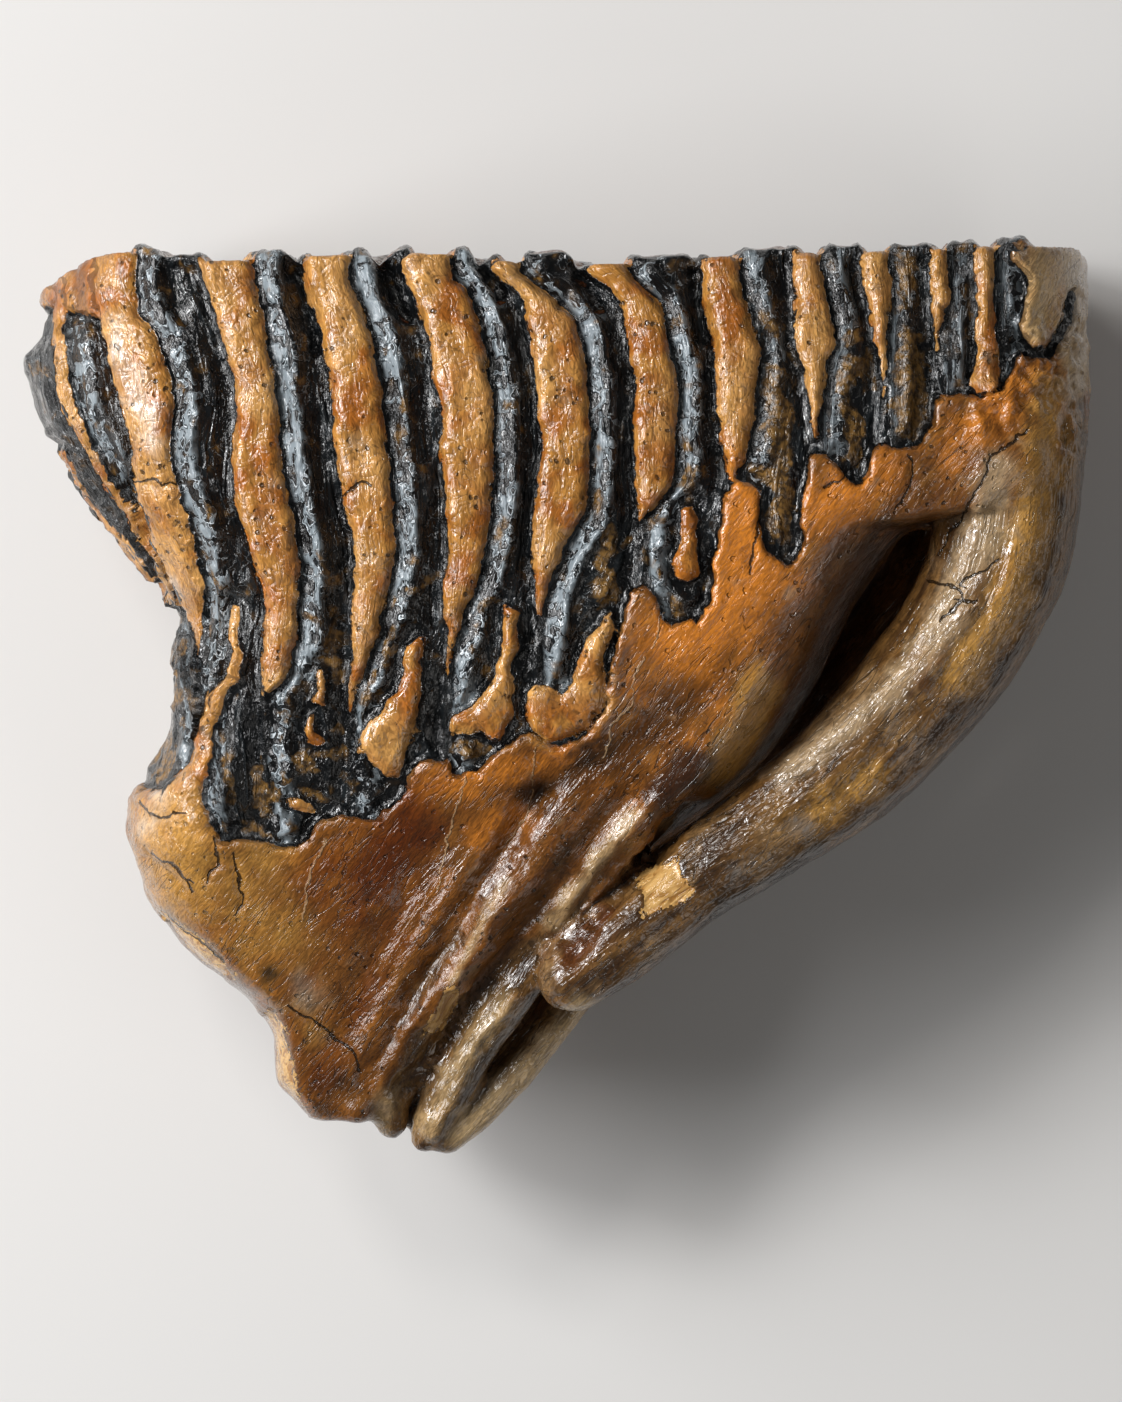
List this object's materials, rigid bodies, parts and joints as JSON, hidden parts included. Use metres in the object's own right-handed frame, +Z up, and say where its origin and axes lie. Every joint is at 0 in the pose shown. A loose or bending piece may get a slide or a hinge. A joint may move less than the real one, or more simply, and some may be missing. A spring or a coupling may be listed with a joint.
{
  "type": "fossil mammoth molar",
  "caption": "Fossil mammoth cheek tooth with enamel plates, cement bands and curved roots, lying on its broad side as a display piece.",
  "frame": {"origin": "middle of the bounding box's bottom face, in the plane of the worn flat that the tooth rests on", "axes": "+X along the chewing surface towards the free front root; +Y from the root tips to the chewing surface; +Z up, out of the broad side shown"},
  "size_m": [0.199, 0.1704, 0.081],
  "materials": {
    "molar": "glossy varnished fossil: orange-brown cement and black enamel"
  },
  "bodies": {
    "root": {"molar": "molar"}
  },
  "joints": []
}
